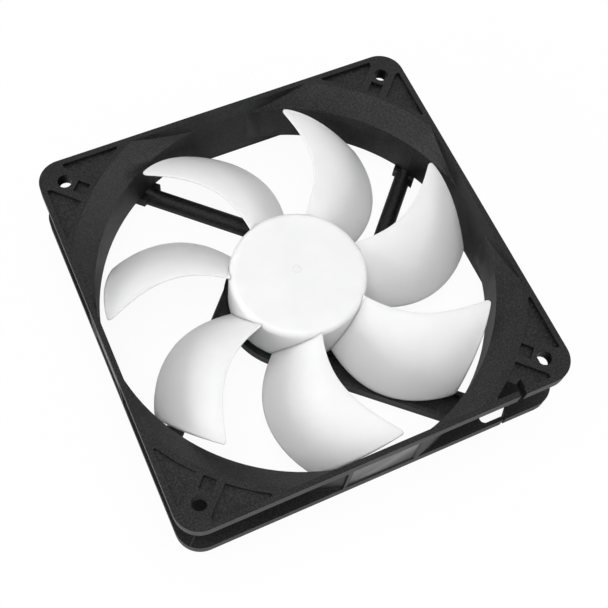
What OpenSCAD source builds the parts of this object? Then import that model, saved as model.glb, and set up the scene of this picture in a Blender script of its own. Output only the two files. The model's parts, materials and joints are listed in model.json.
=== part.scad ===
// Case fan: square moulded frame, seven-blade impeller, brushless motor in the hub.
// Millimetres. Origin on the fan's axis in the exhaust face, +Z towards the inlet.

/* [Frame] */
// Outside width of the square frame
frame_w = 120; // [90:1:150]
// Depth from exhaust face to inlet face
frame_t = 25; // [22:0.5:40]
// Thickness of each flange
flange_t = 4.5; // [3:0.1:6]
// Centre of a screw hole to the two outer edges beside it
hole_inset = 7.5; // [6:0.1:9]
// Screw hole diameter
hole_d = 4.3; // [3.5:0.1:5]
// Outer edge to the duct's bore at the middle of a side
duct_margin = 1; // [0.9:0.1:4]
// Wall of the duct
duct_wall = 1.5; // [1:0.1:3]
// Straight lip that clips the flares at each side
lip_t = 1.6; // [1:0.1:3]
// How far the inlet cone opens beyond the bore
inlet_flare = 6.3; // [3:0.1:8]
// Depth of the inlet cone
inlet_depth = 5.8; // [3:0.1:8]
// How far the exhaust cone opens beyond the bore
exhaust_flare = 3.7; // [2:0.1:6]
// Depth of the exhaust cone
exhaust_depth = 4.9; // [3:0.1:8]
// Width of the pad at the middle of each side
pad_w = 24; // [14:0.5:40]
// Width of the flat window in each pad
window_w = 20; // [8:0.5:30]
// Depth of the window
window_depth = 0.5; // [0.2:0.05:0.7]
// Run of the window's sloping borders
window_slope = 1; // [0.2:0.1:1.5]

/* [Corner pockets] */
// Depth of the pockets in the inlet face
pocket_depth = 1.3; // [0.3:0.1:2]
// Outer edge to a pocket
pocket_edge = 1.7; // [1:0.1:3]
// Land between the inlet cone's rim and a pocket
pocket_land = 1.7; // [0.8:0.1:3]
// Diagonal to the pocket on either side of it
pocket_offset = 4.2; // [3:0.1:6]
// Length cut off the pointed ends of a pocket
pocket_trim = 1.2; // [0.3:0.1:3]
// Side of the small square pocket on the diagonal
key_w = 3.8; // [2:0.1:4.5]
// Screw hole to the small square pocket's centre
key_shift = 5.5; // [5:0.1:7]

/* [Lead outlet] */
// Outer edge to the slot in the exhaust flange
outlet_edge = 1.25; // [1.2:0.05:3]
// Length of the slot's outer edge, up to the slit
outlet_l = 7.3; // [5:0.1:10]
// Width of the slot in the exhaust flange
outlet_w = 3.1; // [2:0.1:4]
// Width of the snap-in slit beside the slot
slit_w = 0.9; // [0.6:0.1:2]
// Screw hole to the slit, along the side
slit_shift = 11; // [9.8:0.1:12]
// Width of the slit in the inlet flange
notch_slit_w = 1.9; // [1:0.1:3]
// Screw hole to the near end of the opening in the inlet flange
notch_near = 9.6; // [8:0.1:12]
// Diagonal to the opening in the inlet flange
notch_offset = 8.8; // [8:0.1:12]
// Rim between the opening and the pocket beside it
notch_rim = 0.8; // [0.5:0.1:2]
// Extra wall round the duct beside the outlet
guard_wall = 0.6; // [0.4:0.1:3]
// Length of the extra wall beyond the side pad
guard_l = 15; // [8:0.5:18]

/* [Struts and motor base] */
// Exhaust face to the underside of struts and base
base_recess = 0.3; // [0:0.1:1]
// Overhang of the motor base beyond the hub
base_overhang = 1.5; // [0.5:0.1:3]
// Wall of the base's rim
base_rim = 1.5; // [1:0.1:2.5]
// Floor of the base
base_floor = 1.6; // [1:0.1:2.5]
// Height of the ledge that carries the board
ledge_h = 1; // [0.6:0.1:2]
// Width of the ledge
ledge_w = 1.6; // [1:0.1:2.5]
// Width of a round strut
strut_w = 5.3; // [3.5:0.1:6]
// Height of the struts
strut_h = 4; // [3:0.1:4.4]
// Turn of the round struts from the frame's diagonals in degrees
strut_turn = 1.8; // [-5:0.1:5]
// Edge of the base to a strut's centre line
strut_inset = 2.85; // [2:0.05:6]
// Extra width on each side at a strut's root
collar_w = 1; // [0.5:0.1:1.5]
// Step of a strut's root inside the bore
collar_l = 1.2; // [0.5:0.1:3]
// Width of the rise on a strut's top at its root
ramp_w = 3.2; // [2:0.1:3.4]
// Blade tips inwards to the start of that rise
ramp_l = 3; // [1:0.1:5]
// Slope of that rise in degrees
ramp_turn = 12; // [4:1:12]
// Depth of a strut's root in the exhaust flange
strut_seat = 1; // [0.5:0.1:2]
// Width of the strut that carries the leads
channel_w = 9.5; // [7:0.1:11]
// Turn of that strut from the frame's diagonal in degrees
channel_turn = 2.8; // [-5:0.1:5]
// How far that strut stands out beyond the motor base
channel_out = 0.3; // [0:0.1:1]
// Wall on each side of the lead channel
channel_wall = 1.3; // [0.8:0.1:2]
// Wall of the boss round the bearing tube
boss_wall = 1.5; // [1:0.1:2.5]
// Height of the boss above the board
boss_rise = 1.9; // [1:0.1:3]

/* [Impeller] */
// Number of blades
blade_count = 7; // [5:1:11]
// Angle of the first blade's leading tip
rest_turn = -82.9; // [-180:0.1:180]
// Gap between the blade tips and the bore
tip_gap = 2.3; // [0.8:0.1:3]
// Outside radius of the hub
hub_r = 20.4; // [18:0.1:24]
// Inlet face down to the hub's top
hub_drop = 3.1; // [2:0.1:5]
// Thickness of the hub's top
hub_top_t = 1.6; // [1:0.1:2.5]
// Wall of the hub's skirt
hub_wall = 1.65; // [1.3:0.05:2.5]
// Rounding of the hub's top edge
hub_round = 2; // [0.5:0.1:3]
// Gap between the hub's skirt and the struts or the base's rim
skirt_gap = 0.9; // [0.6:0.1:2]
// Depth of the blade roots in the hub's skirt
blade_sink = 0.9; // [0.4:0.1:1.2]
// Thickness of a blade at its edges
blade_edge_t = 0.7; // [0.5:0.05:1]
// Thickness of a blade at mid chord
blade_mid_t = 1.7; // [1:0.1:2.5]
// Rounding of a blade's leading tip corner
lead_round = 1.7; // [0.4:0.1:2.5]
// Rounding of a blade's trailing tip corner
trail_round = 0.9; // [0.4:0.1:2.5]
// Leading edge at the hub, degrees behind the leading tip
lead_root_turn = 11.8; // [5:0.1:20]
// Pull on the leading edge near the hub, degrees behind the leading tip
lead_inner_turn = 20; // [10:0.1:30]
// Pull on the leading edge near the tip, degrees behind the leading tip
lead_outer_turn = 6.9; // [0:0.1:12]
// Trailing edge at the hub, degrees behind the leading tip
trail_root_turn = 51; // [40:0.1:60]
// Pull on the trailing edge near the hub, degrees behind the leading tip
trail_inner_turn = 52.1; // [40:0.1:60]
// Pull on the trailing edge near the tip, degrees behind the leading tip
trail_outer_turn = 42.4; // [30:0.1:50]
// Trailing edge at the tip, degrees behind the leading tip
trail_tip_turn = 25.5; // [15:0.1:40]
// Hub's top down to the leading edge at the hub
lead_drop_root = 0.4; // [0.3:0.1:3]
// Inlet face down to the leading edge's pull at mid span
lead_drop_mid = 0.7; // [0.5:0.1:3]
// Inlet face down to the leading edge at the tip
lead_drop_tip = 2.1; // [1:0.1:4]
// Hub's skirt up to the trailing edge
trail_rise = 0.8; // [0.7:0.1:3]
// Camber exponent: 1 is a straight chord
camber = 1.5; // [1:0.05:2]

/* [Motor] */
// Shaft diameter
shaft_d = 3; // [2:0.1:4]
// Radial running gap of the shaft in its sleeve
run_gap = 0.03; // [0.02:0.01:0.08]
// Radial gap between pieces that are fixed together
fit_gap = 0.02; // [0.01:0.01:0.05]
// Wall of the bearing sleeve
sleeve_wall = 1.7; // [1:0.1:2.5]
// Wall of the bearing tube
tube_wall = 1; // [0.6:0.1:1.5]
// Length of the end plug
plug_l = 1.5; // [1:0.1:2]
// Thickness of the thrust pad
thrust_t = 0.8; // [0.5:0.1:1.2]
// End play of the shaft above the thrust pad
end_play = 0.3; // [0.1:0.05:0.4]
// Shaft end up to its groove
groove_rise = 1; // [0.6:0.1:1.5]
// Depth of the shaft's groove
groove_depth = 0.4; // [0.2:0.05:0.5]
// Thickness of the retaining ring
ring_t = 0.4; // [0.3:0.05:0.6]
// Width of the retaining ring
ring_w = 1.4; // [0.8:0.1:1.6]
// Slit in the retaining ring
ring_slit = 0.7; // [0.4:0.1:1]
// Axial gap between retaining ring and sleeve
ring_gap = 0.5; // [0.3:0.1:1]
// Thickness of the oil washer
washer_t = 0.5; // [0.3:0.1:1]
// Radial gap between oil washer and shaft
washer_gap = 0.3; // [0.2:0.1:0.6]
// Length of the shaft's bush
bush_l = 3.8; // [2.5:0.1:4.5]
// Wall of the shaft's bush
bush_wall = 1.8; // [1:0.1:2.5]
// Axial gap between bush and bearing tube
bush_gap = 0.6; // [0.4:0.1:1]
// Thickness of the steel cup
yoke_t = 0.9; // [0.6:0.1:1.2]
// Hub's skirt up to the cup's rim
yoke_rise = 1; // [0.5:0.1:1.5]
// Thickness of the magnet ring
magnet_t = 2.2; // [1.5:0.1:3]
// How far the magnet reaches past the laminations at each end
magnet_over = 1.4; // [0.5:0.1:1.6]
// Air gap between laminations and magnet
air_gap = 0.5; // [0.35:0.05:0.8]
// Width of a pole's neck
pole_w = 4; // [3:0.1:5]
// Thickness of a pole's shoe
shoe_t = 1.8; // [1.2:0.1:2.4]
// Slot between two shoes
shoe_gap = 3.2; // [2:0.1:5]
// Ring of the laminations round the bearing tube
core_ring = 2.6; // [2:0.1:3.5]
// Thickness of the insulators over the laminations' faces
insul_t = 0.9; // [0.6:0.1:1.2]
// Thickness of the insulators beside the pole necks
insul_wall = 0.6; // [0.4:0.1:0.8]
// Thickness of the coils
coil_t = 1.9; // [1:0.1:2.2]
// Gap between a coil and the shoe or ring beside it
coil_gap = 0.4; // [0.2:0.1:0.8]
// Gap between coils and board
coil_floor = 1.9; // [1.6:0.1:2.5]
// Gap between coils and steel cup
coil_roof = 1.4; // [0.8:0.1:2]
// Thickness of the circuit board
board_t = 1.2; // [0.8:0.1:1.6]
// Gap round the circuit board
board_gap = 0.4; // [0.2:0.1:0.8]
// Diameter of a terminal pin
pin_d = 0.7; // [0.5:0.05:1]
// Length of a pin below the board
pin_tail = 0.5; // [0.3:0.1:0.6]
// Side of a coil to the pins' axes
pin_clear = 1.1; // [0.8:0.1:2]
// Wall of the insulator round a pin
pin_wall = 1; // [0.6:0.1:1.2]
// Driver length
driver_l = 4; // [3:0.1:5]
// Driver width
driver_w = 3; // [2:0.1:3.6]
// Driver height
driver_h = 1; // [0.6:0.1:1.4]
// Capacitor length
capacitor_l = 3.2; // [2:0.1:4]
// Capacitor width
capacitor_w = 1.6; // [1:0.1:2.5]
// Capacitor height
capacitor_h = 1.1; // [0.6:0.1:1.4]
// Diode length
diode_l = 2.6; // [2:0.1:4]
// Diode width
diode_w = 1.5; // [1:0.1:2.5]
// Diode height
diode_h = 1; // [0.6:0.1:1.4]

/* [Hidden] */
$fn = 96;
// Overshoot of a cutting tool, and overlap of solids that are one piece
over = 1;
// Turns of the round struts and of the strut that carries the leads
strut_turns = [45 + strut_turn, 135 + strut_turn, 315 + strut_turn];
lead_turn = 225 + channel_turn;
// Turns of the parts on the board
driver_turn = 315;
capacitor_turn = 20;
diode_turn = 160;
half = frame_w / 2;
hole_pos = half - hole_inset;
duct_r = half - duct_margin;
lip_pos = half - lip_t;
upper_z = frame_t - flange_t;
inlet_r = duct_r + inlet_flare;
exhaust_r = duct_r + exhaust_flare;
pocket_r = inlet_r + pocket_land;
pocket_pos = half - pocket_edge;
base_r = hub_r + base_overhang;
base_ir = base_r - base_rim;
floor_z = base_recess + base_floor;
board_z = floor_z + ledge_h;
board_top = board_z + board_t;
boss_z = board_top + boss_rise;
strut_pos = base_r - strut_inset;
strut_top = base_recess + strut_h;
skirt_z = max(board_top, strut_top) + skirt_gap;
hub_top = frame_t - hub_drop;
hub_roof = hub_top - hub_top_t;
tip_r = duct_r - tip_gap;
shaft_r = shaft_d / 2;
sleeve_ir = shaft_r + run_gap;
sleeve_or = sleeve_ir + sleeve_wall;
tube_ir = sleeve_or + fit_gap;
tube_or = tube_ir + tube_wall;
boss_ir = tube_or + fit_gap;
boss_or = boss_ir + boss_wall;
thrust_z = base_recess + plug_l;
shaft_z = thrust_z + thrust_t + end_play;
groove_z = shaft_z + groove_rise;
groove_r = shaft_r - groove_depth;
groove_h = ring_t + 2 * fit_gap;
sleeve_z = groove_z + groove_h + ring_gap;
bush_z = hub_roof - bush_l;
tube_top = bush_z - bush_gap;
washer_z = tube_top - washer_t;
bush_or = shaft_r + fit_gap + bush_wall;
yoke_or = hub_r - hub_wall - fit_gap;
yoke_ir = yoke_or - yoke_t;
yoke_z = skirt_z + yoke_rise;
plate_z = hub_roof - yoke_t;
magnet_or = yoke_ir - fit_gap;
magnet_ir = magnet_or - magnet_t;
core_r = magnet_ir - air_gap;
core_ir = tube_or + fit_gap;
core_z0 = board_top + coil_floor + coil_t + insul_t;
core_z1 = plate_z - coil_roof - coil_t - insul_t;
coil_in = pole_w / 2 + insul_wall + fit_gap;
coil_half = coil_in + coil_t;
coil_r0 = max(core_ir + core_ring + coil_gap, coil_half + coil_gap);
ring_r = coil_r0 - coil_gap;
shoe_ir = core_r - shoe_t;
pin_pos = coil_half + pin_clear;
lug_w = pin_d + 2 * pin_wall;
sensor_r = magnet_ir - driver_l / 2;
part_r = (boss_or + base_ir) / 2;

// Where a line at a distance from the axis meets a circle about it
function reach(r, x) = sqrt(r * r - x * x);
coil_r1 = reach(shoe_ir, coil_half) - coil_gap;

// Square with rounded corners, about the axis
module rounded_square(h, r) {
    square([2 * h, 2 * (h - r)], center = true);
    square([2 * (h - r), 2 * h], center = true);
    for (x = [-1, 1])
        for (y = [-1, 1])
            translate([x * (h - r), y * (h - r)])
                circle(r);
}

// Ring between two radii, standing on z0
module ring(r0, r1, z0, h) {
    translate([0, 0, z0])
        difference() {
            cylinder(r = r1, h = h);
            translate([0, 0, -over])
                cylinder(r = r0, h = h + 2 * over);
        }
}

// The air passage: exhaust cone, bore and inlet cone, clipped by the straight lips
module passage() {
    intersection() {
        rotate_extrude()
            polygon([[0, -over], [exhaust_r, -over], [exhaust_r, 0], [duct_r, exhaust_depth],
                     [duct_r, frame_t - inlet_depth], [inlet_r, frame_t], [inlet_r, frame_t + over],
                     [0, frame_t + over]]);
        translate([-lip_pos, -lip_pos, -2 * over])
            cube([2 * lip_pos, 2 * lip_pos, frame_t + 4 * over]);
    }
}

// The outside of the duct, which follows the passage at the thickness of its wall
module duct_outside() {
    rotate_extrude()
        polygon([[0, 0], [exhaust_r + duct_wall, 0], [duct_r + duct_wall, exhaust_depth],
                 [duct_r + duct_wall, frame_t - inlet_depth], [inlet_r + duct_wall, frame_t],
                 [0, frame_t]]);
}

// The side of the diagonal towards +Y, from a distance on
module beyond(d) {
    rotate(45)
        translate([0, d])
            square([frame_w, half]);
}

// Three-sided pocket along the +Y side of the +X +Y corner, its pointed ends cut off
module pocket_outline() {
    x0 = reach(pocket_r, pocket_pos) + pocket_trim;
    x1 = pocket_pos - pocket_offset * sqrt(2) - pocket_trim;
    difference() {
        intersection() {
            translate([x0, 0])
                square([x1 - x0, pocket_pos]);
            beyond(pocket_offset);
        }
        circle(pocket_r);
    }
}

// Opening for the leads in the inlet flange, and its slit, along the +Y side of the +X +Y corner
module notch_outline() {
    intersection() {
        square([hole_pos - notch_near, pocket_pos]);
        beyond(notch_offset);
        pocket_outline();
    }
    translate([hole_pos - slit_shift - slit_w, pocket_pos - slit_w])
        square([notch_slit_w, pocket_edge + slit_w + over]);
}

// What is cut into the inlet face at the +X +Y corner
module pockets(lead) {
    translate([0, 0, frame_t - pocket_depth])
        linear_extrude(pocket_depth + over) {
            mirror([1, -1])
                pocket_outline();
            difference() {
                pocket_outline();
                if (lead)
                    beyond(notch_offset - notch_rim);
            }
            rotate(45)
                translate([hole_pos * sqrt(2) - key_shift, 0])
                    square(key_w, center = true);
        }
    if (lead)
        translate([0, 0, upper_z - over])
            linear_extrude(flange_t + 2 * over)
                notch_outline();
}

// Slot for the leads in the exhaust flange, along the +Y side of the +X +Y corner: one end is
// round, the other leans at 45 degrees from the slit
module outlet() {
    r = outlet_w / 2;
    x1 = hole_pos - slit_shift;
    x0 = x1 - outlet_l + r;
    y1 = half - outlet_edge;
    y0 = y1 - outlet_w;
    translate([0, 0, -over])
        linear_extrude(flange_t + 2 * over) {
            translate([x0, y0 + r])
                circle(r);
            polygon([[x0, y0], [x1 + outlet_w, y0], [x1, y1], [x0, y1]]);
            translate([x1 - slit_w, y0 + r])
                square([slit_w, half - y0 - r + over]);
        }
}

// Pad at the middle of the +X side
module side_pad() {
    translate([duct_r, -pad_w / 2, flange_t - over / 2])
        cube([half - duct_r, pad_w, upper_z - flange_t + over]);
}

// Flat window with sloping borders, cut into the +X side
module window() {
    w0 = window_w / 2;
    w1 = w0 + window_slope;
    translate([0, 0, flange_t])
        linear_extrude(upper_z - flange_t)
            polygon([[half + over, -w1], [half, -w1], [half - window_depth, -w0],
                     [half - window_depth, w0], [half, w1], [half + over, w1]]);
}

// Strut outline seen along the strut, standing on the X axis
module strut_outline() {
    r = strut_w / 2;
    translate([-r, 0])
        square([strut_w, strut_h - r]);
    intersection() {
        translate([0, strut_h - r])
            circle(r);
        translate([-r, 0])
            square([strut_w, strut_h]);
    }
}

// Straight piece along +Y with an outline of its own, from y0 to y1
module beam(x, y0, y1) {
    translate([x, y1, base_recess])
        rotate([90, 0, 0])
            linear_extrude(y1 - y0)
                children();
}

strut_end = reach(exhaust_r + strut_seat, strut_pos);
ramp_y = reach(tip_r - ramp_l, strut_pos);
ramp_end = reach(duct_r + duct_wall / 2, strut_pos);
channel_pos = base_r + channel_out - channel_w / 2;

// Round strut with its wider root and the rise on its top
module strut() {
    beam(strut_pos, 0, strut_end)
        strut_outline();
    difference() {
        beam(strut_pos, 0, strut_end)
            translate([-strut_w / 2 - collar_w, 0])
                square([strut_w + 2 * collar_w, strut_h]);
        cylinder(r = duct_r - collar_l, h = frame_t);
    }
    translate([strut_pos, ramp_y, strut_top - ramp_w / 2])
        rotate([ramp_turn - 90, 0, 0])
            cylinder(d = ramp_w, h = (ramp_end - ramp_y) / cos(ramp_turn));
}

// Flat strut that carries the leads
module lead_strut() {
    beam(channel_pos, 0, strut_end)
        translate([-channel_w / 2, 0])
            square([channel_w, strut_h]);
}

// Groove for the leads, open towards the impeller
module lead_channel() {
    w = channel_w - 2 * channel_wall;
    translate([channel_pos - w / 2, 0, floor_z])
        cube([w, reach(duct_r, channel_pos), strut_h]);
}

// The frame, one moulding
module frame() {
    color([0.16, 0.16, 0.17])
    difference() {
        union() {
            difference() {
                union() {
                    linear_extrude(flange_t)
                        rounded_square(half, hole_inset);
                    translate([0, 0, upper_z])
                        linear_extrude(flange_t)
                            rounded_square(half, hole_inset);
                    intersection() {
                        duct_outside();
                        translate([-half, -half, 0])
                            cube([frame_w, frame_w, frame_t]);
                    }
                    for (k = [0 : 3])
                        rotate(90 * k)
                            side_pad();
                    intersection() {
                        cylinder(r = duct_r + duct_wall + guard_wall, h = upper_z + over / 2);
                        translate([pad_w / 2 - over, -half, flange_t - over / 2])
                            cube([guard_l + over, half, upper_z - flange_t + over]);
                    }
                }
                passage();
                for (x = [-1, 1])
                    for (y = [-1, 1])
                        translate([x * hole_pos, y * hole_pos, -over])
                            cylinder(d = hole_d, h = frame_t + 2 * over);
                for (x = [0, 1])
                    for (y = [0, 1])
                        mirror([x, 0, 0])
                            mirror([0, y, 0])
                                pockets(x == 0 && y == 1);
                mirror([0, 1, 0])
                    outlet();
                for (k = [0 : 3])
                    rotate(90 * k)
                        window();
            }
            difference() {
                union() {
                    for (a = strut_turns)
                        rotate(a)
                            strut();
                    rotate(lead_turn)
                        lead_strut();
                    translate([0, 0, base_recess])
                        cylinder(r = base_r, h = board_top - base_recess);
                }
                translate([0, 0, floor_z])
                    cylinder(r = base_ir - ledge_w, h = frame_t);
                translate([0, 0, board_z])
                    cylinder(r = base_ir, h = frame_t);
                rotate(lead_turn)
                    lead_channel();
            }
            translate([0, 0, base_recess])
                cylinder(r = boss_or, h = boss_z - base_recess);
        }
        translate([0, 0, -over])
            cylinder(r = boss_ir, h = frame_t);
    }
}

module bearing_tube() {
    color([0.72, 0.58, 0.3])
    ring(tube_ir, tube_or, base_recess, tube_top - base_recess);
}

module end_plug() {
    color([0.1, 0.1, 0.1])
    translate([0, 0, base_recess])
        cylinder(r = tube_ir - fit_gap, h = plug_l);
}

module thrust_pad() {
    color([0.85, 0.83, 0.76])
    translate([0, 0, thrust_z])
        cylinder(r = tube_ir - fit_gap, h = thrust_t);
}

module bearing_sleeve() {
    color([0.5, 0.38, 0.25])
    ring(sleeve_ir, sleeve_or, sleeve_z, washer_z - sleeve_z);
}

module oil_washer() {
    color([0.85, 0.85, 0.82])
    ring(shaft_r + washer_gap, sleeve_or, washer_z, washer_t);
}

// Terminal pins stand on three of the four diagonals
module at_pin(k) {
    rotate(90 * k)
        translate([pin_pos, pin_pos, 0])
            children();
}

module circuit_board() {
    color([0.1, 0.35, 0.18])
    difference() {
        ring(boss_or + board_gap, base_ir - board_gap, board_z, board_t);
        for (k = [0 : 2])
            at_pin(k)
                cylinder(d = pin_d + 2 * fit_gap, h = frame_t);
    }
}

// Box on the board, at a radius and an angle
module chip(r, a, l, w, h) {
    rotate(a)
        translate([r - l / 2, -w / 2, board_top])
            cube([l, w, h]);
}

module driver_ic() {
    color([0.08, 0.08, 0.08])
    chip(sensor_r, driver_turn, driver_l, driver_w, driver_h);
}

module capacitor() {
    color([0.62, 0.5, 0.36])
    chip(part_r, capacitor_turn, capacitor_l, capacitor_w, capacitor_h);
}

module diode() {
    color([0.12, 0.12, 0.13])
    chip(part_r, diode_turn, diode_l, diode_w, diode_h);
}

// Four pole necks, wider by a margin on each side, out to a radius
module necks(r, margin) {
    for (k = [0 : 1])
        rotate(90 * k)
            square([2 * r, pole_w + 2 * margin], center = true);
}

// Outline of the lamination stack
module core_outline() {
    difference() {
        union() {
            circle(ring_r);
            necks(core_r - shoe_t / 2, 0);
            difference() {
                circle(core_r);
                circle(shoe_ir);
                for (k = [0 : 1])
                    rotate(45 + 90 * k)
                        square([2 * (core_r + over), shoe_gap], center = true);
            }
        }
        circle(core_ir);
    }
}

module stator_core() {
    color([0.5, 0.5, 0.52])
    translate([0, 0, core_z0])
        linear_extrude(core_z1 - core_z0)
            core_outline();
}

// One bobbin half: a plate on the laminations' face and walls down the pole necks
module insulator() {
    depth = (core_z1 - core_z0) / 2 - fit_gap;
    linear_extrude(insul_t)
        difference() {
            union() {
                circle(ring_r);
                necks(shoe_ir, insul_wall);
            }
            circle(core_ir);
        }
    translate([0, 0, -depth])
        linear_extrude(depth + insul_t)
            difference() {
                intersection() {
                    necks(core_r, insul_wall);
                    circle(shoe_ir - fit_gap);
                }
                necks(core_r, fit_gap);
                circle(ring_r + fit_gap);
            }
}

module upper_insulator() {
    color([0.86, 0.84, 0.78])
    translate([0, 0, core_z1])
        insulator();
}

module lower_insulator() {
    color([0.86, 0.84, 0.78])
    difference() {
        union() {
            translate([0, 0, core_z0])
                mirror([0, 0, 1])
                    insulator();
            ring(core_ir, boss_or, boss_z, core_z0 - boss_z);
            for (k = [0 : 2])
                rotate(45 + 90 * k)
                    translate([core_ir + fit_gap, -lug_w / 2, core_z0 - insul_t])
                        cube([pin_pos * sqrt(2) + lug_w / 2 - core_ir - fit_gap, lug_w, insul_t]);
        }
        for (k = [0 : 2])
            at_pin(k)
                cylinder(d = pin_d + 2 * fit_gap, h = frame_t);
    }
}

// One coil round the pole neck that points along +X
module coil() {
    zc = (core_z0 + core_z1) / 2;
    h0 = (core_z1 - core_z0) / 2 + insul_t + fit_gap;
    translate([coil_r0, 0, zc])
        rotate([90, 0, 90])
            linear_extrude(coil_r1 - coil_r0)
                difference() {
                    union() {
                        square([2 * coil_half, 2 * h0], center = true);
                        square([2 * coil_in, 2 * (h0 + coil_t)], center = true);
                        for (x = [-1, 1])
                            for (y = [-1, 1])
                                translate([x * coil_in, y * h0])
                                    circle(coil_t);
                    }
                    square([2 * coil_in, 2 * h0], center = true);
                }
}

module winding(k) {
    color([0.72, 0.4, 0.2])
    rotate(90 * k)
        coil();
}

module winding_1() {
    winding(0);
}

module winding_2() {
    winding(1);
}

module winding_3() {
    winding(2);
}

module winding_4() {
    winding(3);
}

module pin(k) {
    color([0.75, 0.75, 0.72])
    at_pin(k)
        translate([0, 0, board_z - pin_tail])
            cylinder(d = pin_d, h = core_z0 - board_z + pin_tail);
}

module pin_1() {
    pin(0);
}

module pin_2() {
    pin(1);
}

module pin_3() {
    pin(2);
}

// Cubic and quadratic curves through their end values, drawn to the values between
function cubic(a, b, c, d, u) =
    a * pow(1 - u, 3) + 3 * b * u * pow(1 - u, 2) + 3 * c * u * u * (1 - u) + d * pow(u, 3);
function quadratic(a, b, c, u) = a * pow(1 - u, 2) + 2 * b * u * (1 - u) + c * u * u;

// Share of the span, from hub to tip, at each row of a blade: even rows, then close rows
// where the tip's corners are round
blade_span = tip_r - hub_r;
blade_cols = 8;
blade_rows = 12;
corner_rows = 5;
round_u = 1 - max(lead_round, trail_round) / blade_span;
root_u = -blade_sink / blade_span;
blade_u = concat([for (i = [0 : blade_rows]) root_u + (round_u - root_u) * i / blade_rows],
                 [for (i = [1 : corner_rows]) round_u + (1 - round_u) * sin(90 * i / corner_rows)]);
// Angle that a round corner of radius r takes off an edge
function corner_cut(u, r) =
    let (in_corner = max(0, 1 - (1 - u) * blade_span / r),
         cut = r * (1 - sqrt(max(0, 1 - pow(in_corner, 2)))))
    cut / (hub_r + blade_span * u) * 180 / PI;
function lead_angle(u) =
    -cubic(lead_root_turn, lead_inner_turn, lead_outer_turn, 0, u) - corner_cut(u, lead_round);
function trail_angle(u) =
    -cubic(trail_root_turn, trail_inner_turn, trail_outer_turn, trail_tip_turn, u)
    + corner_cut(u, trail_round);
function lead_z(u) =
    quadratic(hub_top - lead_drop_root, frame_t - lead_drop_mid, frame_t - lead_drop_tip, u);
trail_z = skirt_z + trail_rise;
function blade_t(v) = blade_edge_t + (blade_mid_t - blade_edge_t) * 4 * v * (1 - v);
function blade_point(u, v, drop) =
    let (r = hub_r + blade_span * u,
         a = rest_turn + lead_angle(u) + v * (trail_angle(u) - lead_angle(u)),
         z = lead_z(u) + (trail_z - lead_z(u)) * pow(v, camber))
    [r * cos(a), r * sin(a), z - drop * blade_t(v)];

// One blade as a closed sheet: upper face, lower face and the rim between them
module blade() {
    rows = len(blade_u) - 1;
    wide = blade_cols + 1;
    low = (rows + 1) * wide;
    points = [for (drop = [0, 1])
                  for (u = blade_u)
                      for (j = [0 : blade_cols])
                          blade_point(u, j / blade_cols, drop)];
    faces = [for (i = [0 : rows - 1])
                 for (j = [0 : blade_cols - 1])
                     let (a = i * wide + j, b = a + wide)
                     each [[a, b, b + 1], [a, b + 1, a + 1],
                           [low + a, low + b + 1, low + b], [low + a, low + a + 1, low + b + 1]]];
    sides = [for (i = [0 : rows - 1])
                 let (a = i * wide, b = a + wide, c = a + blade_cols, d = b + blade_cols)
                 each [[b, a, low + a], [b, low + a, low + b],
                       [c, d, low + d], [c, low + d, low + c]]];
    ends = [for (j = [0 : blade_cols - 1])
                let (a = j, b = rows * wide + j)
                each [[a, a + 1, low + a + 1], [a, low + a + 1, low + a],
                      [b + 1, b, low + b], [b + 1, low + b, low + b + 1]]];
    polyhedron(points, concat(faces, sides, ends));
}

// Hub and blades, one moulding
module impeller() {
    color([0.93, 0.93, 0.93])
    union() {
        rotate_extrude()
            difference() {
                union() {
                    translate([0, skirt_z])
                        square([hub_r - hub_round, hub_top - skirt_z]);
                    translate([0, skirt_z])
                        square([hub_r, hub_top - hub_round - skirt_z]);
                    translate([hub_r - hub_round, hub_top - hub_round])
                        circle(hub_round);
                }
                translate([-over, skirt_z - over])
                    square([hub_r - hub_wall + over, hub_roof - skirt_z + over]);
            }
        for (k = [0 : blade_count - 1])
            rotate(360 * k / blade_count)
                blade();
    }
}

module rotor_yoke() {
    color([0.55, 0.56, 0.58])
    difference() {
        translate([0, 0, yoke_z])
            cylinder(r = yoke_or, h = hub_roof - yoke_z);
        translate([0, 0, yoke_z - over])
            cylinder(r = yoke_ir, h = plate_z - yoke_z + over);
        cylinder(r = bush_or + fit_gap, h = frame_t);
    }
}

module ring_magnet() {
    color([0.2, 0.19, 0.19])
    ring(magnet_ir, magnet_or, core_z0 - magnet_over, core_z1 - core_z0 + 2 * magnet_over);
}

module shaft_bush() {
    color([0.72, 0.58, 0.3])
    ring(shaft_r + fit_gap, bush_or, bush_z, bush_l);
}

module shaft() {
    color([0.7, 0.71, 0.73])
    difference() {
        translate([0, 0, shaft_z])
            cylinder(r = shaft_r, h = hub_roof - shaft_z);
        ring(groove_r, shaft_r + over, groove_z, groove_h);
    }
}

module retaining_ring() {
    color([0.9, 0.9, 0.86])
    difference() {
        ring(groove_r + fit_gap, groove_r + fit_gap + ring_w, groove_z + fit_gap, ring_t);
        translate([0, -ring_slit / 2, 0])
            cube([groove_r + ring_w + over, ring_slit, frame_t]);
    }
}

frame();
bearing_tube();
end_plug();
thrust_pad();
bearing_sleeve();
oil_washer();
circuit_board();
driver_ic();
capacitor();
diode();
lower_insulator();
stator_core();
upper_insulator();
winding_1();
winding_2();
winding_3();
winding_4();
pin_1();
pin_2();
pin_3();
impeller();
rotor_yoke();
ring_magnet();
shaft_bush();
shaft();
retaining_ring();
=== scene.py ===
import json
import math

import bmesh
import bpy
import numpy as np
from mathutils import Matrix, Vector


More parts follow.
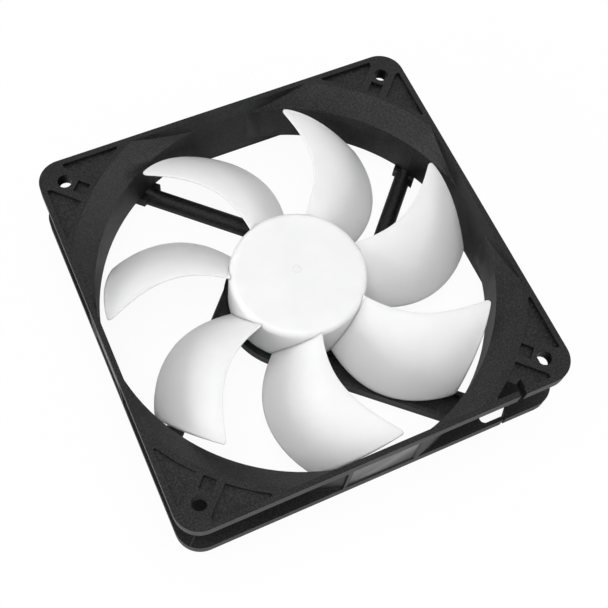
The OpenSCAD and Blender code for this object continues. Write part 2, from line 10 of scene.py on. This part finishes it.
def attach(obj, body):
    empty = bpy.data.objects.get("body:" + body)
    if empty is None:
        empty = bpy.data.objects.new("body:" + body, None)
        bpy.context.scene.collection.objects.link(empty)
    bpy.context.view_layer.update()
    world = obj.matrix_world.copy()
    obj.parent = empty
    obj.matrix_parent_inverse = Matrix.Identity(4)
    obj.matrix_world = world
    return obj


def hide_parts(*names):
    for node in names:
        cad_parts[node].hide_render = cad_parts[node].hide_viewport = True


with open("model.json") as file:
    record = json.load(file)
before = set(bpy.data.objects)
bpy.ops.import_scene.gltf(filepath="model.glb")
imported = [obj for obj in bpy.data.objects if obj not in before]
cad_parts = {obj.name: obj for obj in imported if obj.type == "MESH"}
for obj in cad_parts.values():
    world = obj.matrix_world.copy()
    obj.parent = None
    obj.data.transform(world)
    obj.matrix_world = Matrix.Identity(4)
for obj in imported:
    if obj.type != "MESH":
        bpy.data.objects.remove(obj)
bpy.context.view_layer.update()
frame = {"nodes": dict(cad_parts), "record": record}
mm = 0.001
print("fan loaded:", len(frame["nodes"]), "nodes")


class Wire:
    # one socket of the material being wired; sums and products of wires add Math nodes
    tree = None

    def __init__(self, socket):
        self.socket = socket

    @classmethod
    def node(cls, kind, settings=None, inputs=None, out=0):
        # settings such as a Math node's operation come first, then the values or links of the sockets
        made = cls.tree.nodes.new("ShaderNode" + kind)
        for key, value in (settings or {}).items():
            setattr(made, key, value)
        for key, value in (inputs or {}).items():
            if isinstance(value, Wire):
                cls.tree.links.new(value.socket, made.inputs[key])
            else:
                made.inputs[key].default_value = value
        return cls(made.outputs[out]) if made.outputs else made

    def math(self, operation, other=0.0, turned=False):
        first, second = (other, self) if turned else (self, other)
        return Wire.node("Math", {"operation": operation}, {0: first, 1: second})

    def __add__(self, other):
        return self.math("ADD", other)

    def __sub__(self, other):
        return self.math("SUBTRACT", other)

    def __rsub__(self, other):
        return self.math("SUBTRACT", other, True)

    def __mul__(self, other):
        return self.math("MULTIPLY", other)

    __radd__ = __add__
    __rmul__ = __mul__


def newMaterial(name):
    material = bpy.data.materials.new(name)
    material.use_nodes = True
    material.node_tree.nodes.clear()
    Wire.tree = material.node_tree
    return material


def objectPlace():
    return Wire.node("TexCoord", out="Object")


def axisOf(place, axis):
    return Wire.node("SeparateXYZ", inputs={0: place}, out=axis)


def noise(place, size, detail=2.0, rough=0.5):
    # smooth noise from 0 to 1 whose lumps are about size metres wide
    return Wire.node("TexNoise", {"noise_dimensions": "3D"},
                     {"Vector": place, "Scale": 1 / size, "Detail": detail, "Roughness": rough}, "Fac")


def cells(place, size):
    # distance to the nearest of scattered points about size metres apart, as a share of that spacing
    return Wire.node("TexVoronoi", {"feature": "F1"}, {"Vector": place, "Scale": 1 / size}, "Distance")


def distance(x, y, centre):
    across, along = x - centre[0], y - centre[1]
    return (across * across + along * along).math("SQRT")


def step(value, low, high):
    return Wire.node("MapRange", {"interpolation_type": "SMOOTHSTEP"},
                     {"Value": value, "From Min": low, "From Max": high}, "Result")


def within(value, limits):
    return value.math("GREATER_THAN", limits[0]) * value.math("LESS_THAN", limits[1])


def blend(share, first, second):
    colours = [colour if isinstance(colour, Wire) else (*colour, 1) for colour in (first, second)]
    return Wire.node("Mix", {"data_type": "RGBA"}, {"Factor": share, 6: colours[0], 7: colours[1]}, 2)


def bump(height, depth):
    return Wire.node("Bump", None, {"Height": height, "Distance": depth}, "Normal")


def waves(along, length):
    # the angle of an even wave whose crests are length metres apart
    return along * (2 * math.pi / length)


def surface(**inputs):
    # the shader itself: names in camelCase stand for the sockets' own names
    names = {"baseColor": "Base Color", "roughness": "Roughness", "metallic": "Metallic",
             "normal": "Normal", "coatWeight": "Coat Weight", "coatRoughness": "Coat Roughness",
             "specular": "Specular IOR Level", "subsurface": "Subsurface Weight",
             "subsurfaceRadius": "Subsurface Radius", "subsurfaceScale": "Subsurface Scale"}
    shader = Wire.node("BsdfPrincipled", None, {names[key]: value for key, value in inputs.items()})
    Wire.node("OutputMaterial", None, {"Surface": shader})


# Black moulded plastic: spark-eroded grain, slow change of tone, polished windows in the side pads,
# and a fine raised parting line on the diagonals between the flanges, painted lighter than the plastic as
# a painted glint
blackPlastic = {"dark": (0.002, 0.002, 0.0022), "light": (0.021, 0.021, 0.0216),
                "seamAndGlint": (0.045, 0.045, 0.047), "toneRange": (0.4, 0.66), "grainTone": 0.85,
                "cloud": 9 * mm, "grain": 0.5 * mm, "pits": 0.7 * mm, "pitShare": 0.35,
                "grainDepth": 0.08 * mm, "rough": 0.37, "cloudRough": 0.08, "grainRough": 0.05,
                "gloss": 0.3, "polish": 0.3, "flanges": (4.4 * mm, 20.6 * mm),
                "seamHalf": 0.2 * mm, "seamReach": 105 * mm, "seamRise": 2.0,
                "windowPlace": (59.3 * mm, 59.7 * mm), "windowHalf": 10.05 * mm}


def makeBlackPlastic():
    spec = blackPlastic
    material = newMaterial("blackPlastic")
    place = objectPlace()
    grain = noise(place, spec["grain"], detail=3.0, rough=0.6)
    pits = cells(place, spec["pits"])
    cloud = noise(place, spec["cloud"])
    x, y, z = (axisOf(place, axis).math("ABSOLUTE") for axis in "XYZ")
    between = within(z, spec["flanges"])
    onDiagonal = 1 - step((x - y).math("ABSOLUTE"), 0.0, spec["seamHalf"] * math.sqrt(2))
    # the parting line's mask: a raised seam that also carries a painted glint, a lighter colour than the
    # plastic
    seamAndGlint = between * (x + y).math("GREATER_THAN", spec["seamReach"]) * onDiagonal
    onPad = x.math("MINIMUM", y).math("LESS_THAN", spec["windowHalf"])
    window = between * within(x.math("MAXIMUM", y), spec["windowPlace"]) * onPad
    tone = grain * spec["grainTone"] + cloud * (1 - spec["grainTone"])
    plain = blend(step(tone, *spec["toneRange"]), spec["dark"], spec["light"])
    rough = spec["rough"] + spec["cloudRough"] * cloud + spec["grainRough"] * grain
    texture = (grain + spec["pitShare"] * pits) * (1 - window)
    # the seam's lighter colour is a painted glint laid over the plain plastic
    surface(baseColor=blend(seamAndGlint, plain, spec["seamAndGlint"]),
            roughness=rough * (1 - window) + window * spec["polish"], specular=spec["gloss"],
            coatWeight=window, coatRoughness=spec["polish"],
            normal=bump(texture + spec["seamRise"] * seamAndGlint, spec["grainDepth"]))
    return material


# White satin plastic of the impeller: faint flow marks, a very fine grain, and the gate's ring and dot
# on the hub's top
whitePlastic = {"pale": (0.86, 0.86, 0.865), "bright": (0.9, 0.9, 0.9), "mark": (0.62, 0.62, 0.63),
                "toneRange": (0.3, 0.7), "markShare": 0.5, "markDepth": 12, "cloud": 14 * mm,
                "grain": 0.35 * mm, "grainDepth": 0.004 * mm, "rough": 0.36, "cloudRough": 0.12,
                "grainRough": 0.05, "gloss": 0.4, "glow": 0.8, "glowReach": 2 * mm,
                "gate": (0.1 * mm, 1.2 * mm), "gateTop": 21.5 * mm, "gateRing": 1.2 * mm,
                "gateLine": 0.16 * mm, "gateDot": (0.75 * mm, 1.5 * mm), "dotCore": 0.12 * mm,
                "dotRadius": 0.3 * mm}


def makeWhitePlastic():
    spec = whitePlastic
    material = newMaterial("whitePlastic")
    place = objectPlace()
    cloud = noise(place, spec["cloud"], detail=3.0)
    grain = noise(place, spec["grain"])
    x, y, z = (axisOf(place, axis) for axis in "XYZ")
    top = z.math("GREATER_THAN", spec["gateTop"])
    fromRing = (distance(x, y, spec["gate"]) - spec["gateRing"]).math("ABSOLUTE")
    ring = 1 - step(fromRing, 0.0, spec["gateLine"])
    dot = 1 - step(distance(x, y, spec["gateDot"]), spec["dotCore"], spec["dotRadius"])
    mark = top * ring.math("MAXIMUM", dot)
    plain = blend(step(cloud, *spec["toneRange"]), spec["pale"], spec["bright"])
    surface(baseColor=blend(mark * spec["markShare"], plain, spec["mark"]),
            roughness=spec["rough"] + spec["cloudRough"] * cloud + spec["grainRough"] * grain,
            specular=spec["gloss"], subsurface=spec["glow"], subsurfaceRadius=(1.0, 1.0, 1.0),
            subsurfaceScale=spec["glowReach"],
            normal=bump(grain - spec["markDepth"] * mark, spec["grainDepth"]))
    return material


# Plain finishes of the motor pieces: colours, roughness, metal share and lump size of the surface
motorFinishes = {
    "brass": {"dark": (0.50, 0.34, 0.12), "light": (0.62, 0.45, 0.18),
              "rough": 0.26, "metal": 1.0, "lump": 0.5 * mm},
    "bronze": {"dark": (0.25, 0.14, 0.06), "light": (0.38, 0.24, 0.12),
               "rough": 0.5, "metal": 1.0, "lump": 0.12 * mm},
    "nylon": {"dark": (0.70, 0.68, 0.60), "light": (0.80, 0.78, 0.72),
              "rough": 0.45, "metal": 0.0, "lump": 1.2 * mm},
    "chip": {"dark": (0.006, 0.006, 0.006), "light": (0.016, 0.016, 0.017),
             "rough": 0.5, "metal": 0.0, "lump": 0.1 * mm},
    "ceramic": {"dark": (0.30, 0.19, 0.10), "light": (0.42, 0.29, 0.17),
                "rough": 0.55, "metal": 0.0, "lump": 0.2 * mm},
    "bobbin": {"dark": (0.66, 0.62, 0.52), "light": (0.78, 0.75, 0.66),
               "rough": 0.48, "metal": 0.0, "lump": 1.5 * mm},
    "tin": {"dark": (0.55, 0.55, 0.52), "light": (0.68, 0.68, 0.66),
            "rough": 0.3, "metal": 1.0, "lump": 0.2 * mm},
    "yoke_steel": {"dark": (0.32, 0.33, 0.35), "light": (0.46, 0.47, 0.49),
                   "rough": 0.34, "metal": 1.0, "lump": 1.0 * mm},
    "magnet": {"dark": (0.022, 0.021, 0.021), "light": (0.05, 0.048, 0.047),
               "rough": 0.62, "metal": 0.0, "lump": 0.15 * mm},
    "shaft_steel": {"dark": (0.52, 0.53, 0.55), "light": (0.66, 0.67, 0.69),
                    "rough": 0.16, "metal": 1.0, "lump": 0.3 * mm},
}


# What the motor finishes share: the lumps' part in the tone, the slow change's size, the share by which
# the roughness wanders to either side, and a lump's depth beside its width
motorSurface = {"lumpTone": 0.6, "toneRange": (0.3, 0.7), "cloud": 4 * mm, "roughSpread": 0.2,
                "lumpDepth": 0.08}


def makeMotorFinish(name):
    spec, shared = motorFinishes[name], motorSurface
    material = newMaterial(name + "Finish")
    place = objectPlace()
    fine = noise(place, spec["lump"], detail=3.0, rough=0.6)
    cloud = noise(place, shared["cloud"])
    tone = fine * shared["lumpTone"] + cloud * (1 - shared["lumpTone"])
    spread = spec["rough"] * shared["roughSpread"]
    surface(baseColor=blend(step(tone, *shared["toneRange"]), spec["dark"], spec["light"]),
            roughness=spec["rough"] - spread + 2 * spread * cloud, metallic=spec["metal"],
            normal=bump(fine, spec["lump"] * shared["lumpDepth"]))
    return material


# Stamped steel: one line for each sheet of the stack
laminationSteel = {"dark": (0.16, 0.16, 0.17), "light": (0.38, 0.38, 0.4), "sheet": 0.5 * mm,
                   "lineDepth": 0.02 * mm, "lineTone": 0.5, "toneRange": (0.0, 1.2), "cloud": 2 * mm,
                   "rough": 0.4, "cloudRough": 0.15}


def makeLamination():
    spec = laminationSteel
    material = newMaterial("laminationSteel")
    place = objectPlace()
    sheet = waves(axisOf(place, "Z"), spec["sheet"]).math("SINE")
    cloud = noise(place, spec["cloud"])
    tone = sheet * spec["lineTone"] + cloud
    surface(baseColor=blend(step(tone, *spec["toneRange"]), spec["dark"], spec["light"]),
            roughness=spec["rough"] + spec["cloudRough"] * cloud, metallic=1.0,
            normal=bump(sheet, spec["lineDepth"]))
    return material


# Enamelled copper: round turns side by side along the pole's own axis
copperWire = {"dark": (0.22, 0.07, 0.025), "light": (0.62, 0.25, 0.1), "turn": 0.28 * mm,
              "turnDepth": 0.06 * mm, "turnTone": 0.4, "toneRange": (0.1, 1.1), "cloud": 1.5 * mm,
              "rough": 0.26, "cloudRough": 0.14, "enamel": 0.4, "enamelRough": 0.2}


def makeCopper(axis):
    spec = copperWire
    material = newMaterial("copperWire" + axis)
    place = objectPlace()
    turns = waves(axisOf(place, axis), spec["turn"]).math("COSINE")
    cloud = noise(place, spec["cloud"])
    tone = turns * spec["turnTone"] + cloud
    surface(baseColor=blend(step(tone, *spec["toneRange"]), spec["dark"], spec["light"]),
            roughness=spec["rough"] + spec["cloudRough"] * cloud, metallic=1.0,
            coatWeight=spec["enamel"], coatRoughness=spec["enamelRough"],
            normal=bump(turns, spec["turnDepth"]))
    return material


# Circuit board: green mask over tracks that run round the axis
boardMask = {"dark": (0.006, 0.06, 0.022), "light": (0.02, 0.16, 0.055), "track": 1.6 * mm,
             "trackEdge": (0.1, 0.35), "trackTone": 0.8, "trackDepth": 0.03 * mm, "wander": 2 * mm,
             "wanderSize": 5 * mm, "cloud": 3 * mm, "rough": 0.28, "cloudRough": 0.1,
             "varnish": 0.3, "varnishRough": 0.12}


def makeBoard():
    spec = boardMask
    material = newMaterial("boardMask")
    place = objectPlace()
    reach = distance(axisOf(place, "X"), axisOf(place, "Y"), (0.0, 0.0))
    wander = noise(place, spec["wanderSize"]) * spec["wander"]
    track = step(waves(reach + wander, spec["track"]).math("SINE"), *spec["trackEdge"])
    cloud = noise(place, spec["cloud"])
    tone = track * spec["trackTone"] + cloud * (1 - spec["trackTone"])
    surface(baseColor=blend(tone, spec["dark"], spec["light"]),
            roughness=spec["rough"] + spec["cloudRough"] * cloud,
            coatWeight=spec["varnish"], coatRoughness=spec["varnishRough"],
            normal=bump(track, spec["trackDepth"]))
    return material


blackSkin = makeBlackPlastic()
whiteSkin = makeWhitePlastic()
skins = {name: makeMotorFinish(name) for name in motorFinishes}
skins.update(frame_plastic=blackSkin, impeller_plastic=whiteSkin, lamination=makeLamination(),
             board=makeBoard())
copperX, copperY = makeCopper("X"), makeCopper("Y")
for part in frame["record"]["subparts"]:
    name, slot = part["node"], part["material_slot"]
    if slot == "copper":
        skin = copperX if name in ("winding_1", "winding_3") else copperY
    else:
        skin = skins[slot]
    node = frame["nodes"][name]
    node.data.materials.clear()
    node.data.materials.append(skin)


# Points closer than the gap, in metres, become one, and edges past the angle, in degrees, stay sharp
sheetMesh = {"mergeGap": 1e-7, "sharpAngle": 40}


def gridFaces(rows, columns):
    # corners of the quads between neighbouring rows and columns; the last column joins the first
    i = np.arange(rows - 1)[:, None]
    j = np.arange(columns)[None, :]
    k = (j + 1) % columns
    near, far = i * columns, (i + 1) * columns
    return np.stack([near + j, near + k, far + k, far + j], -1).reshape(-1, 4)


def sheetPiece(name, grids, skin, body, node):
    # several closed grids as one piece; rows that shrink to a point or a line are merged there
    points = np.concatenate([grid.reshape(-1, 3) for grid in grids])
    starts = np.cumsum([0] + [grid.shape[0] * grid.shape[1] for grid in grids])
    faces = np.concatenate([gridFaces(grid.shape[0], grid.shape[1]) + start
                            for grid, start in zip(grids, starts)])
    mesh = bpy.data.meshes.new(name)
    mesh.from_pydata(points.tolist(), [], faces.tolist())
    work = bmesh.new()
    work.from_mesh(mesh)
    bmesh.ops.remove_doubles(work, verts=work.verts, dist=sheetMesh["mergeGap"])
    bmesh.ops.recalc_face_normals(work, faces=work.faces)
    work.to_mesh(mesh)
    work.free()
    mesh.materials.append(skin)
    mesh.shade_smooth()
    mesh.set_sharp_from_angle(angle=math.radians(sheetMesh["sharpAngle"]))
    piece = bpy.data.objects.new(name, mesh)
    bpy.context.scene.collection.objects.link(piece)
    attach(piece, body)
    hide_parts(node)
    return piece


# The impeller's sizes: radii, heights and thicknesses in metres, turns in degrees behind the leading tip
impeller = {"blades": 7, "restTurn": -82.9, "hubRadius": 20.4 * mm, "tipRadius": 56.7 * mm,
            "hubTop": 21.9 * mm, "hubRoof": 20.3 * mm, "skirt": 5.2 * mm, "hubWall": 1.65 * mm,
            "hubRound": 2 * mm, "rimRound": 0.25 * mm,
            "leadTurns": (11.8, 20.0, 6.9, 0.0), "trailTurns": (51.0, 52.1, 42.4, 25.5),
            "leadHeights": (21.5 * mm, 24.3 * mm, 22.9 * mm), "trailHeight": 6.0 * mm, "camber": 1.5,
            "edgeThick": 0.7 * mm, "midThick": 1.7 * mm, "leadRound": 1.7 * mm,
            "trailRound": 0.9 * mm, "sink": 0.9 * mm, "edgeRound": 0.3 * mm, "fillet": 0.5 * mm}
# How finely it is drawn: a blade's rows from hub to tip and columns from edge to edge, where its second
# buried row stands in the sink, the hub's rows and columns, and where an extra row stands on its walls
impellerMesh = {"filletRows": 7, "bladeRows": 46, "cornerRows": 14, "edgeColumns": 6, "bladeColumns": 34,
                "buriedRow": 0.1, "topRows": 10, "roundRows": 12, "roofRows": 6, "hubColumns": 160,
                "wallRow": 6 * mm}


def cubic(ends, u):
    # a curve from the first value at u = 0 to the last at u = 1, drawn towards the two between
    a, b, c, d = ends
    return a * (1 - u) ** 3 + 3 * b * u * (1 - u) ** 2 + 3 * c * u ** 2 * (1 - u) + d * u ** 3


def quadratic(ends, u):
    # the same with one value between
    a, b, c = ends
    return a * (1 - u) ** 2 + 2 * b * u * (1 - u) + c * u ** 2


def cornerCut(radius, fromTip):
    # how far a round corner stands back from the straight edge, at a distance from the tip
    return radius * (1 - np.sqrt(1 - np.clip(1 - fromTip / radius, 0, 1) ** 2))


def bladeGrid(turn):
    # u runs from hub to tip and v from the leading to the trailing edge. A point stands at radius r(u),
    # at an angle part-way from the leading to the trailing edge's curve, and falls from the leading
    # edge's height to the trailing edge's height as v to the power camber. Two such faces half a
    # thickness above and below close at round edges.
    spec, fine = impeller, impellerMesh
    span = spec["tipRadius"] - spec["hubRadius"]
    cornerStart = 1 - max(spec["leadRound"], spec["trailRound"]) / span
    filletEnd = spec["fillet"] / span
    buried = -spec["sink"] / span
    # rows: two inside the hub, the fillet, even rows, the round corners at the tip
    corner = np.sin(np.linspace(0, math.pi / 2, fine["cornerRows"]))[1:]
    u = np.concatenate([[buried, fine["buriedRow"] * buried],
                        filletEnd * (1 - np.cos(np.linspace(0, math.pi / 2, fine["filletRows"]))),
                        np.linspace(filletEnd, cornerStart, fine["bladeRows"])[1:],
                        cornerStart + (1 - cornerStart) * corner])[:, None]
    r = spec["hubRadius"] + span * u
    lead = -cubic(spec["leadTurns"], u) - np.degrees(cornerCut(spec["leadRound"], (1 - u) * span) / r)
    trail = -cubic(spec["trailTurns"], u) + np.degrees(cornerCut(spec["trailRound"], (1 - u) * span) / r)
    # columns: round leading edge, even columns, round trailing edge
    nose = spec["edgeRound"] / (r * np.radians(lead - trail))
    arc = np.linspace(0, math.pi / 2, fine["edgeColumns"])[None, :]
    even = np.linspace(0, 1, fine["bladeColumns"])[None, 1:-1]
    v = np.concatenate([nose * (1 - np.cos(arc)), nose + (1 - 2 * nose) * even,
                        1 - nose * (1 - np.cos(arc[:, ::-1]))], 1)
    opening = np.concatenate([np.sin(arc), np.ones_like(even), np.sin(arc[:, ::-1])], 1)
    tip = np.clip(1 - (1 - u) * span / spec["edgeRound"], 0, 1)
    opening = opening * np.sqrt(1 - tip ** 2)
    opening[0] = 0
    angle = np.radians(spec["restTurn"] + turn + lead + v * (trail - lead))
    leadHeight = quadratic(spec["leadHeights"], u)
    thick = spec["edgeThick"] + (spec["midThick"] - spec["edgeThick"]) * 4 * v * (1 - v)
    middle = leadHeight + (spec["trailHeight"] - leadHeight) * v ** spec["camber"] - thick / 2
    away = np.clip(1 - u * span / spec["fillet"], 0, 1)
    flare = spec["fillet"] * (1 - np.sqrt(1 - away ** 2))
    half = opening * (thick / 2 + flare)
    upper = np.stack([r * np.cos(angle), r * np.sin(angle), middle + half], -1)
    lower = np.stack([r * np.cos(angle), r * np.sin(angle), middle - half], -1)
    return np.concatenate([upper, lower[:, -2:0:-1]], 1)


def hubGrid():
    # a profile of radius and height carried once round the axis: top, round edge, wall, rim, inner wall,
    # roof
    spec, fine = impeller, impellerMesh
    turn = np.linspace(0, math.pi / 2, fine["roundRows"])
    shoulder = spec["hubRadius"] - spec["hubRound"]
    rimRound = spec["rimRound"]
    inner = spec["hubRadius"] - spec["hubWall"]
    radius = np.concatenate([np.linspace(0, shoulder, fine["topRows"]),
                             shoulder + spec["hubRound"] * np.sin(turn)[1:],
                             [spec["hubRadius"], spec["hubRadius"]],
                             spec["hubRadius"] - rimRound * (1 - np.cos(turn[1:])),
                             inner + rimRound * (1 - np.sin(turn)),
                             [inner, inner], np.linspace(inner, 0, fine["roofRows"])[1:]])
    height = np.concatenate([np.full(fine["topRows"], spec["hubTop"]),
                             spec["hubTop"] - spec["hubRound"] * (1 - np.cos(turn))[1:],
                             [spec["hubTop"] - fine["wallRow"], spec["skirt"] + rimRound],
                             spec["skirt"] + rimRound * (1 - np.sin(turn[1:])),
                             spec["skirt"] + rimRound * (1 - np.cos(turn)),
                             [spec["skirt"] + fine["wallRow"], spec["hubRoof"]],
                             np.full(fine["roofRows"] - 1, spec["hubRoof"])])
    around = np.linspace(0, 2 * math.pi, fine["hubColumns"], endpoint=False)[None, :]
    return np.stack([radius[:, None] * np.cos(around), radius[:, None] * np.sin(around),
                     np.repeat(height[:, None], around.size, 1)], -1)


turns = 360 * np.arange(impeller["blades"]) / impeller["blades"]
wheel = sheetPiece("bladedWheel", [hubGrid()] + [bladeGrid(turn) for turn in turns], whiteSkin,
                   "rotor", "impeller")
print("impeller:", len(wheel.data.polygons), "faces")

# The frame keeps its CAD shape; its edges get the small rounding of a moulding where its faces turn by
# more than the limit, in degrees, and triangles that lie flat within flatAngle are joined first
moulding = {"edge": 0.25 * mm, "segments": 3, "limit": 28, "mergeGap": 2e-6, "flatAngle": 0.3}


def frameMoulding():
    work = bmesh.new()
    work.from_mesh(frame["nodes"]["frame"].data)
    bmesh.ops.remove_doubles(work, verts=work.verts, dist=moulding["mergeGap"])
    bmesh.ops.dissolve_limit(work, angle_limit=math.radians(moulding["flatAngle"]), verts=work.verts,
                             edges=work.edges)
    mesh = bpy.data.meshes.new("frameMoulding")
    work.to_mesh(mesh)
    work.free()
    mesh.materials.append(blackSkin)
    mesh.shade_smooth()
    mesh.set_sharp_from_angle(angle=math.radians(moulding["limit"]))
    piece = bpy.data.objects.new("frameMoulding", mesh)
    bpy.context.scene.collection.objects.link(piece)
    rounding = piece.modifiers.new("edges", "BEVEL")
    rounding.width, rounding.segments = moulding["edge"], moulding["segments"]
    rounding.limit_method, rounding.angle_limit = "ANGLE", math.radians(moulding["limit"])
    rounding.harden_normals = True
    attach(piece, "stator")
    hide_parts("frame")
    return piece


body = frameMoulding()
print("frame:", len(body.data.polygons), "faces")

# Studio: pale floor that the camera sees as white with a faint shadow and that throws back less light
# than it shows, pale surroundings, a broad soft light overhead that leaves no reflection, a soft box
# above the camera and one on either side
studio = {"floorSize": 3.0, "floorDrop": 0.05 * mm, "paper": (0.92, 0.92, 0.92),
          "bounce": (0.7, 0.7, 0.7), "shadowShare": 0.06, "mirroredWhite": 0.1, "skyLight": 0.3,
          "lamps": [{"place": (0.0, 0.1, 1.1), "size": (1.1, 1.1), "brightness": 2.15,
                     "mirrored": False},
                    {"place": (-0.3, -0.4, 1.09), "size": (0.7, 0.7), "brightness": 1.7,
                     "mirrored": True},
                    {"place": (-0.95, 0.0, 0.33), "size": (1.2, 0.4), "brightness": 3.2,
                     "mirrored": True},
                    {"place": (0.83, -0.48, 0.27), "size": (0.7, 0.4), "brightness": 3.0,
                     "mirrored": True}]}


def rays(kind):
    return Wire.node("LightPath", out="Is " + kind + " Ray")


def makeFloor():
    half, level = studio["floorSize"] / 2, -studio["floorDrop"]
    mesh = bpy.data.meshes.new("floor")
    mesh.from_pydata([(-half, -half, level), (half, -half, level), (half, half, level),
                      (-half, half, level)], [], [(0, 1, 2, 3)])
    floor = bpy.data.objects.new("floor", mesh)
    bpy.context.scene.collection.objects.link(floor)
    mesh.materials.append(newMaterial("paleFloor"))
    shade = blend(rays("Camera"), studio["bounce"], studio["paper"])
    paper = Wire.node("BsdfDiffuse", None, {"Color": shade})
    white = Wire.node("Emission", None, {"Strength": 1.0})
    share = (rays("Camera").math("MAXIMUM", rays("Transmission")) * (1 - studio["shadowShare"])
             + rays("Glossy") * studio["mirroredWhite"])
    mixed = Wire.node("MixShader", None, {0: share, 1: paper, 2: white})
    Wire.node("OutputMaterial", None, {"Surface": mixed})


def makeSky():
    world = bpy.data.worlds.new("studioSky")
    bpy.context.scene.world = world
    world.use_nodes = True
    world.node_tree.nodes.clear()
    Wire.tree = world.node_tree
    shown = rays("Camera").math("MAXIMUM", rays("Transmission")).math("MAXIMUM", rays("Glossy"))
    strength = shown * (1 - studio["skyLight"]) + studio["skyLight"]
    light = Wire.node("Background", None, {"Strength": strength})
    Wire.node("OutputWorld", None, {"Surface": light})


def makeLamps():
    # each lamp is a sheet turned to the fan; how bright it looks and its area give its power
    for number, spec in enumerate(studio["lamps"]):
        lamp = bpy.data.lights.new("softBox%d" % (number + 1), "AREA")
        lamp.shape = "RECTANGLE"
        lamp.size, lamp.size_y = spec["size"]
        lamp.energy = spec["brightness"] * math.pi * lamp.size * lamp.size_y
        box = bpy.data.objects.new(lamp.name, lamp)
        box.location, box.visible_glossy = spec["place"], spec["mirrored"]
        box.rotation_euler = (-box.location).to_track_quat("-Z", "Y").to_euler()
        bpy.context.scene.collection.objects.link(box)


# The photograph's camera: turned about the fan's axis, raised, rolled, and shifted as the picture was
# cropped
shot = {"azimuth": -32.618, "elevation": 64.921, "roll": 9.123, "distance": 328.551 * mm, "focal": 1058.15,
        "offset": (10.461, 0.268), "pixels": 608, "sensor": 36.0, "clip": (0.01, 20.0)}


def makeCamera():
    a, e, roll = (math.radians(shot[key]) for key in ("azimuth", "elevation", "roll"))
    back = Vector((math.sin(a) * math.cos(e), -math.cos(a) * math.cos(e), math.sin(e)))
    flat = Vector((math.cos(a), math.sin(a), 0))
    upright = back.cross(flat)
    right = math.cos(roll) * flat + math.sin(roll) * upright
    up = math.cos(roll) * upright - math.sin(roll) * flat
    camera = bpy.data.cameras.new("photoCamera")
    camera.sensor_width = shot["sensor"]
    camera.lens = shot["sensor"] * shot["focal"] / shot["pixels"]
    camera.shift_x = shot["offset"][0] / shot["pixels"]
    camera.shift_y = -shot["offset"][1] / shot["pixels"]
    camera.clip_start, camera.clip_end = shot["clip"]
    holder = bpy.data.objects.new("photoCamera", camera)
    turned = Matrix((right, up, back)).transposed().to_4x4()
    holder.matrix_world = Matrix.Translation(back * shot["distance"]) @ turned
    bpy.context.scene.collection.objects.link(holder)
    bpy.context.scene.camera = holder


makeFloor()
makeSky()
makeLamps()
makeCamera()
bpy.context.scene.view_settings.view_transform = "Standard"
print("studio ready")
